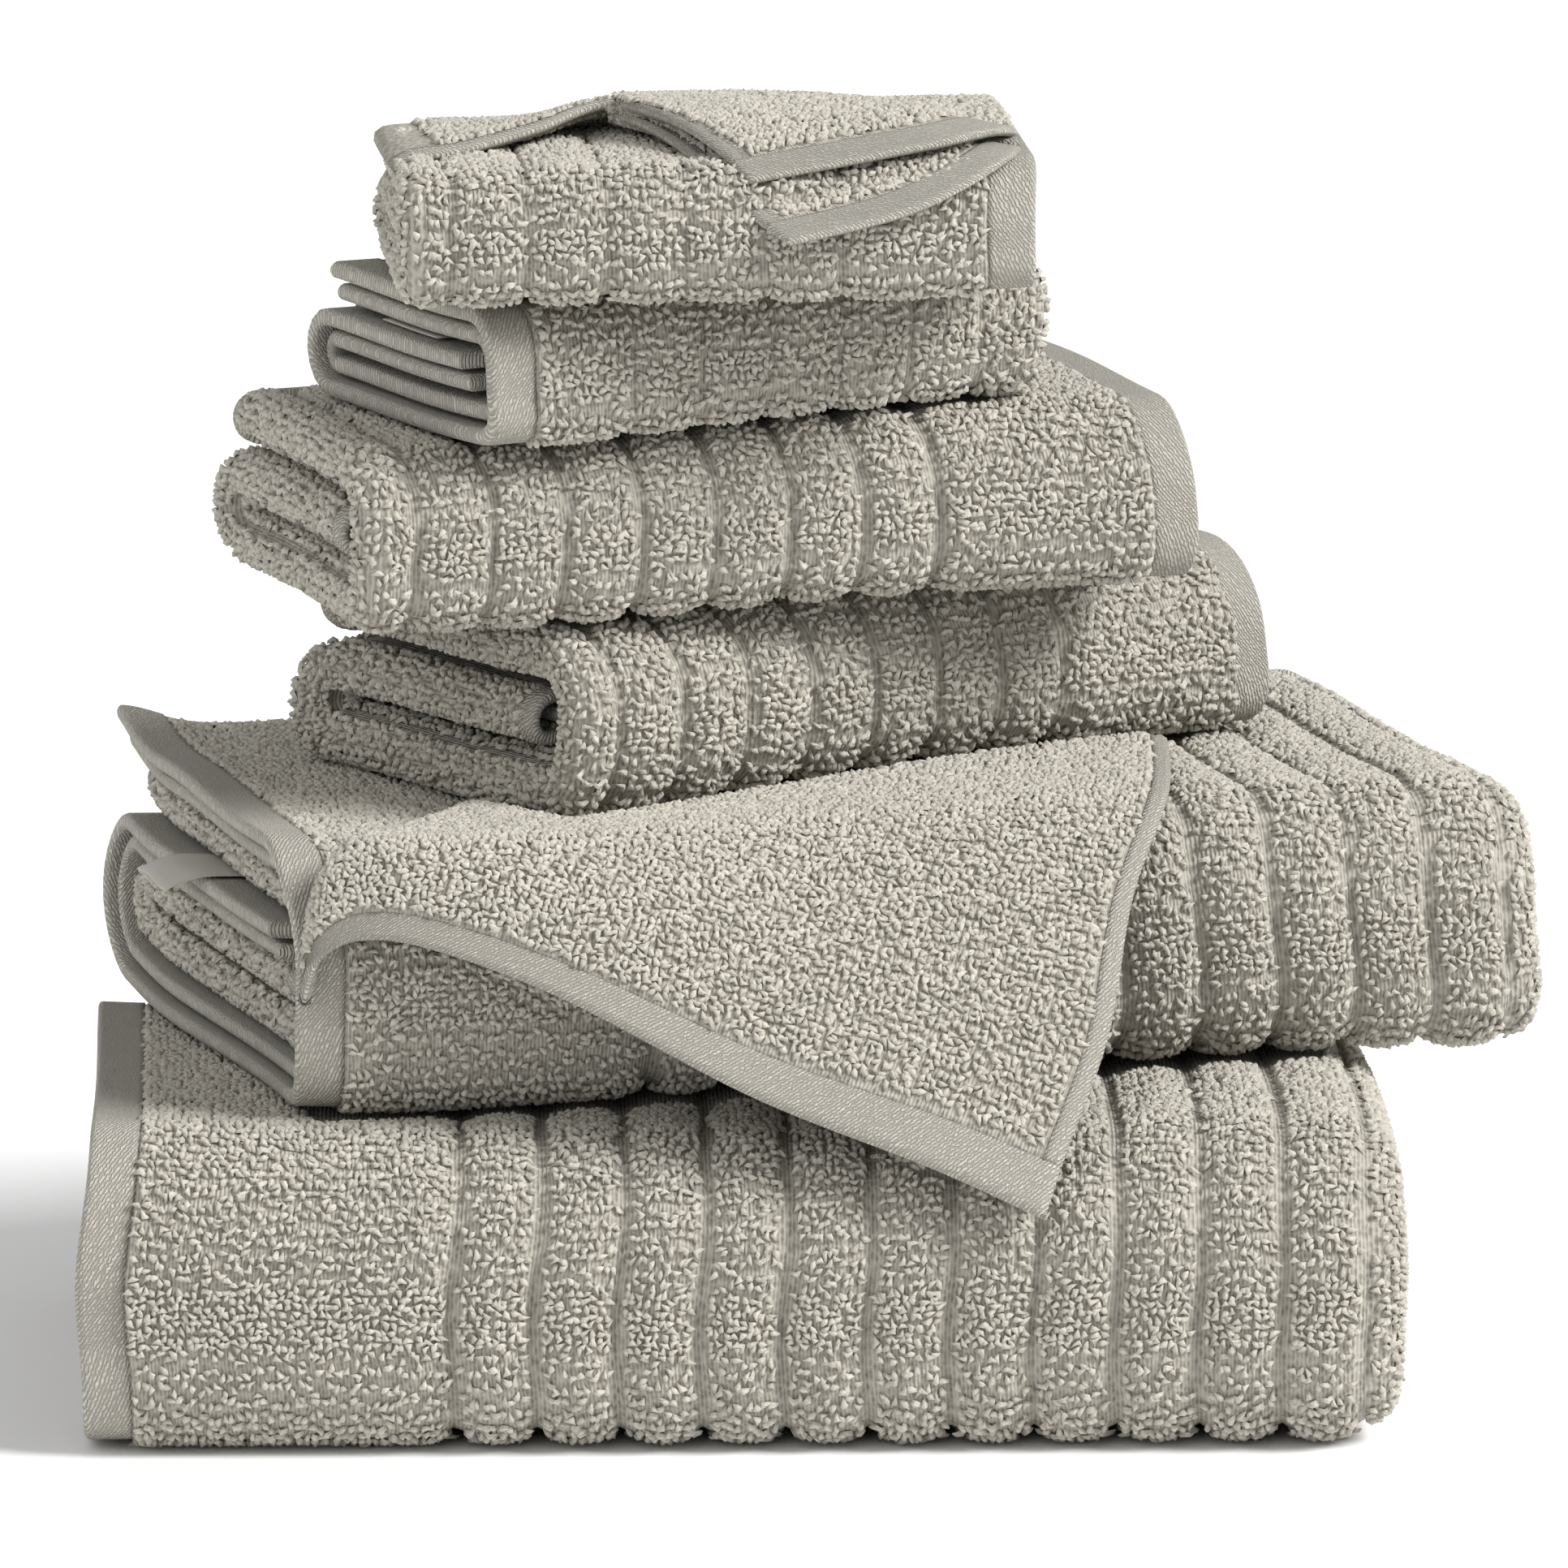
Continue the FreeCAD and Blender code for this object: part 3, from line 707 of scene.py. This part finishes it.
CORNER_PLY = 4.6
bath_patch = turned_corner(
    upper_bath, "_turned_corner", "bath_towel_upper_turned_corner",
    hem_line=[(1.0, -2.0, 33.0), (4.0, -6.0, 43.0), (14.0, -11.0, 50.0), (30.0, -19.0, 49.0),
              (62.0, -34.0, 37.0), (106.0, -54.0, 15.0), (148.0, -73.0, -3.0), (178.0, -86.0, -18.0)],
    ridge_line=[(1.0, -2.0, 33.0), (5.0, -3.0, 55.0), (15.0, 2.0, 68.0), (32.0, 16.0, 75.5),
                (56.0, 46.0, 76.0), (72.0, 78.0, 76.0)],
    edge_line=[(178.0, -86.0, -18.0), (197.0, -64.0, 15.0), (218.0, -34.0, 50.0), (236.0, -3.0, 72.0),
               (252.0, 50.0, 76.0), (262.0, 90.0, 76.0)],
    end_line=[(72.0, 78.0, 76.0), (140.0, 82.0, 75.5), (262.0, 90.0, 76.0)],
    thick=CORNER_PLY, outward=(0.0, -0.5, 1.0), nu=120, nv=130, roll=7.0)

# ---------------------------------------------------------------------------
# The turned plies of the upper washcloth: two plies of terry with their hems,
# turned over at the hemmed end, the second set back from the first, and the
# raised top ply behind them. They are laid in the same way as the corner above.
# ---------------------------------------------------------------------------
WASH_PLY = 3.6
RAISED_PLY = 3.8

first_ply = turned_corner(
    upper_wash, "_turned_corner", "washcloth_upper_turned_corner",
    hem_line=[(3.0, 22.0, 35.0), (8.0, 8.0, 34.5), (20.0, -3.0, 29.5), (36.0, -8.0, 24.0),
              (66.0, -11.0, 18.0)],
    ridge_line=[(3.0, 22.0, 35.0), (30.0, 42.0, 37.5), (70.0, 62.0, 39.5), (105.0, 73.0, 42.0)],
    edge_line=[(66.0, -11.0, 18.0), (76.0, 3.0, 24.0), (88.0, 22.0, 34.0), (98.0, 50.0, 39.5),
               (107.0, 72.0, 41.6)],
    end_line=[(105.0, 73.0, 42.0), (106.0, 72.5, 42.0), (107.0, 72.0, 41.6)],
    thick=WASH_PLY, outward=(0.0, -0.5, 1.0), roll=2.5)
second_ply = turned_corner(
    upper_wash, "_turned_second", "washcloth_upper_turned_corner",
    hem_line=[(3.0, 33.0, 38.0), (10.0, 22.0, 40.0), (24.0, 10.0, 39.5), (46.0, 5.0, 36.5),
              (75.0, 4.0, 31.5)],
    ridge_line=[(3.0, 33.0, 38.0), (30.0, 46.0, 42.0), (70.0, 63.0, 44.5), (104.0, 71.0, 46.5)],
    edge_line=[(75.0, 4.0, 31.5), (82.0, 14.0, 37.0), (91.0, 30.0, 42.0), (100.0, 52.0, 45.0),
               (106.0, 69.0, 46.2)],
    end_line=[(104.0, 71.0, 46.5), (105.0, 70.0, 46.5), (106.0, 69.0, 46.2)],
    thick=WASH_PLY, outward=(0.0, -0.5, 1.0), roll=2.5)

wash_raised = turned_corner(
    upper_wash, "_raised_panel", "washcloth_upper_turned_corner",
    hem_line=[(166.0, 103.0, 30.0), (166.5, 80.0, 31.0), (166.5, 60.0, 31.5), (165.5, 44.0, 31.0)],
    ridge_line=[(166.0, 103.0, 30.0), (160.0, 103.0, 33.5), (110.0, 103.0, 34.0), (50.0, 103.0, 34.0),
                (3.0, 103.0, 34.0)],
    edge_line=[(165.5, 44.0, 31.0), (160.0, 45.0, 34.5), (148.0, 47.0, 36.0), (127.0, 58.0, 40.0),
               (107.0, 73.0, 44.0), (78.0, 65.0, 41.5), (40.0, 47.0, 38.5), (3.0, 28.0, 35.3)],
    end_line=[(3.0, 103.0, 34.0), (3.0, 85.0, 35.6), (3.0, 60.0, 36.2), (3.0, 28.0, 35.3)],
    thick=RAISED_PLY, outward=(0.0, 0.2, 1.0), nu=60, nv=80, end_hem=False)

# ---------------------------------------------------------------------------
# The pile. Every loop is a short curl of soft cotton yarn. Loops stand close
# together on the ribs and the plain bands, with none in the grooves or on the
# hems. Faces that lie under or on another towel are left bare.
# ---------------------------------------------------------------------------
LOOP_GAP = 2.06
LOOPS_IN_PIECE = 9000
LOOP_SEAT = 0.85     # a loop's middle above the ground
TURNED_SEAT = 0.75   # and on a turned ply
BARE_GROOVE = 0.34   # rib height below which a deep groove has no loops
BARE_LINE = 0.05     # the same for the washcloths' shallow grooves
COVER = 7.0          # how far in under another towel the loops stop
HEM_END_SEEN = 12.0  # how far in from each end the inner plies can be seen
FAR_END_SEEN = 14.0
dice = np.random.default_rng(20)

# loops: each has its own tone, with fine yarn bumps over it
loop_finish, tree, shader, place, ramp = finish(
    "cotton_loops", (0.38, 0.355, 0.305), (0.60, 0.568, 0.498), 0.95, 0.12)
tone = add(tree, "ShaderNodeAttribute", attribute_name="tone")
yarn = add(tree, "ShaderNodeTexNoise")
yarn.inputs["Scale"].default_value = 1600.0
yarn.inputs["Detail"].default_value = 2.0
tree.links.new(place.outputs["Object"], yarn.inputs["Vector"])
mixed = add(tree, "ShaderNodeMath", operation="MULTIPLY_ADD")
tree.links.new(yarn.outputs["Fac"], mixed.inputs[0])
mixed.inputs[1].default_value = 0.35
tree.links.new(tone.outputs["Fac"], mixed.inputs[2])
tree.links.new(mixed.outputs["Value"], ramp.inputs["Fac"])
bump_from(tree, shader, yarn.outputs["Fac"], 0.9, 0.0006)

for thing in bpy.context.selected_objects:
    thing.select_set(False)
bpy.ops.mesh.primitive_uv_sphere_add(segments=4, ring_count=3, radius=1.0)
curl = bpy.context.object
curl_points = np.array([p.co for p in curl.data.vertices])
root = int(curl_points[:, 2].argmin())
curl_faces = [[k - (k > root) for k in f.vertices] for f in curl.data.polygons if root not in f.vertices]
curl_points = np.delete(curl_points, root, axis=0)
curl_points[:, :2] *= np.where(curl_points[:, 2:] < 0, 1.22, 1.08)
bpy.data.objects.remove(curl)


def curls(n):
    """n loops, each a little different in length, bend and height."""
    p = np.broadcast_to(curl_points, (n, len(curl_points), 3)).copy()
    p[..., 0] *= dice.uniform(1.3, 2.1, (n, 1))
    p[..., 1] *= dice.uniform(0.62, 0.9, (n, 1))
    p[..., 2] *= dice.uniform(0.8, 1.25, (n, 1))
    p[..., 1] += dice.uniform(-0.5, 0.5, (n, 1)) * p[..., 0] ** 2
    p[..., 2] -= 0.22 * p[..., 0] ** 2
    return p


def plant(name, t, here, xd, yd, zd):
    """Turns and tilts loops at random and makes them up in pieces."""
    n = len(here)
    spin = dice.uniform(0, 2 * math.pi, n)[:, None]
    lean = dice.normal(0, 0.34, (n, 2))
    up = zd + lean[:, :1] * xd + lean[:, 1:] * yd
    up /= np.linalg.norm(up, axis=1, keepdims=True)
    a = np.cos(spin) * xd + np.sin(spin) * yd
    b = np.cross(up, a)
    b /= np.linalg.norm(b, axis=1, keepdims=True)
    a = np.cross(b, up)
    tones = dice.uniform(0.12, 0.7, n)
    for k, start in enumerate(range(0, n, LOOPS_IN_PIECE)):
        s = slice(start, start + LOOPS_IN_PIECE)
        piece = scatter(name + "_loops_" + str(k + 1), curls(len(here[s])), curl_faces,
                        here[s], a[s], b[s], up[s], loop_finish, tones[s])
        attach(piece, t.name)
        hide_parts(t.name + "_terry")
        with_of[t.name].append(piece)


def lattice(u0, u1, v0, v1, gap):
    u, v = np.meshgrid(np.arange(u0, u1, gap), np.arange(v0, v1, gap), indexing="ij")
    u, v = u.ravel(), v.ravel()
    return u + dice.uniform(-0.34, 0.34, len(u)) * gap, v + dice.uniform(-0.34, 0.34, len(v)) * gap


def covered(spots, towel):
    """Whether a place is under another towel."""
    return far_inside(spots, towel) > COVER


for index, t in enumerate(stack):
    u, v = lattice(END_HEM + 1.4, t.full - END_HEM - 1.4, SIDE_HEM + 1.2, t.cut - SIDE_HEM - 1.2, LOOP_GAP)
    picks = []
    for side in (1.0, -1.0):
        swell = t.skin_rise(u, v) if side > 0 else 0 * u
        lift = side * ((t.ply - GROUND_SHARE - LOOP_TIP) / 2 + LOOP_SEAT) + swell
        here, xd, yd, zd, part = frame_at(t, u, v, lift)
        x = part[:, 0]
        outermost = (u < t.length + t.ply * t.plies) & (side > 0)
        near_end = (x < HEM_END_SEEN) | (x > t.length - FAR_END_SEEN)
        inside = (v < t.marks[1] + 2.0) & ~near_end
        bottom = (v > t.marks[2]) & (v < t.marks[3])
        top = v > t.marks[6] - 4.0
        keep = (outermost & ~inside & ~bottom) | near_end
        if index < 5:
            keep &= ~(top & covered(here, stack[index + 1]) & ~near_end)
        if side > 0:
            keep &= t.rib_rise(u) > (BARE_GROOVE if t.relief > 0.7 else BARE_LINE)
        picks.append((here[keep], xd[keep], yd[keep], zd[keep] * (1.0 if side > 0 else -1.0)))
    here, xd, yd, zd = (np.concatenate([p[k] for p in picks]) for k in range(4))
    plant(t.name, t, here, xd, yd, zd)

for t, label, patch in ((upper_bath, "_turned", bath_patch), (upper_wash, "_turned_a", first_ply),
                        (upper_wash, "_turned_b", second_ply), (upper_wash, "_raised", wash_raised)):
    mid, normal, a, b, thick = patch
    for side, name, gap in ((1.0, "_face", LOOP_GAP), (-1.0, "_back", LOOP_GAP * 1.2)):
        ga, gb = lattice(1.0, a[-1] - SIDE_HEM - 1.2, END_HEM + 1.2, b[-1], gap)
        fa = np.clip(ga / a[-1] * (len(a) - 1), 0, len(a) - 1.001)
        fb = np.clip(gb / b[-1] * (len(b) - 1), 0, len(b) - 1.001)
        ia, ib = fa.astype(int), fb.astype(int)
        wa, wb = (fa - ia)[:, None], (fb - ib)[:, None]
        centre, out = ((1 - wa) * (1 - wb) * grid[ia, ib] + wa * (1 - wb) * grid[ia + 1, ib]
                       + (1 - wa) * wb * grid[ia, ib + 1] + wa * wb * grid[ia + 1, ib + 1]
                       for grid in (mid, normal))
        n = out * side
        spot = centre + n * ((thick - PILE_ROOM) / 2 + TURNED_SEAT)
        here = t.stand(spot[:, 0], spot[:, 1], spot[:, 2])
        tip = spot + n
        zd = t.stand(tip[:, 0], tip[:, 1], tip[:, 2]) - here
        zd /= np.linalg.norm(zd, axis=1, keepdims=True)
        xd = np.cross(zd, np.array([0.31, 0.17, 0.93]))
        xd /= np.linalg.norm(xd, axis=1, keepdims=True)
        seen = np.full(len(here), True)
        if side > 0 and t is upper_bath:
            seen = ~covered(here, lower_hand)
        plant(t.name + label + name, t, here[seen], xd[seen], np.cross(zd, xd)[seen], zd[seen])
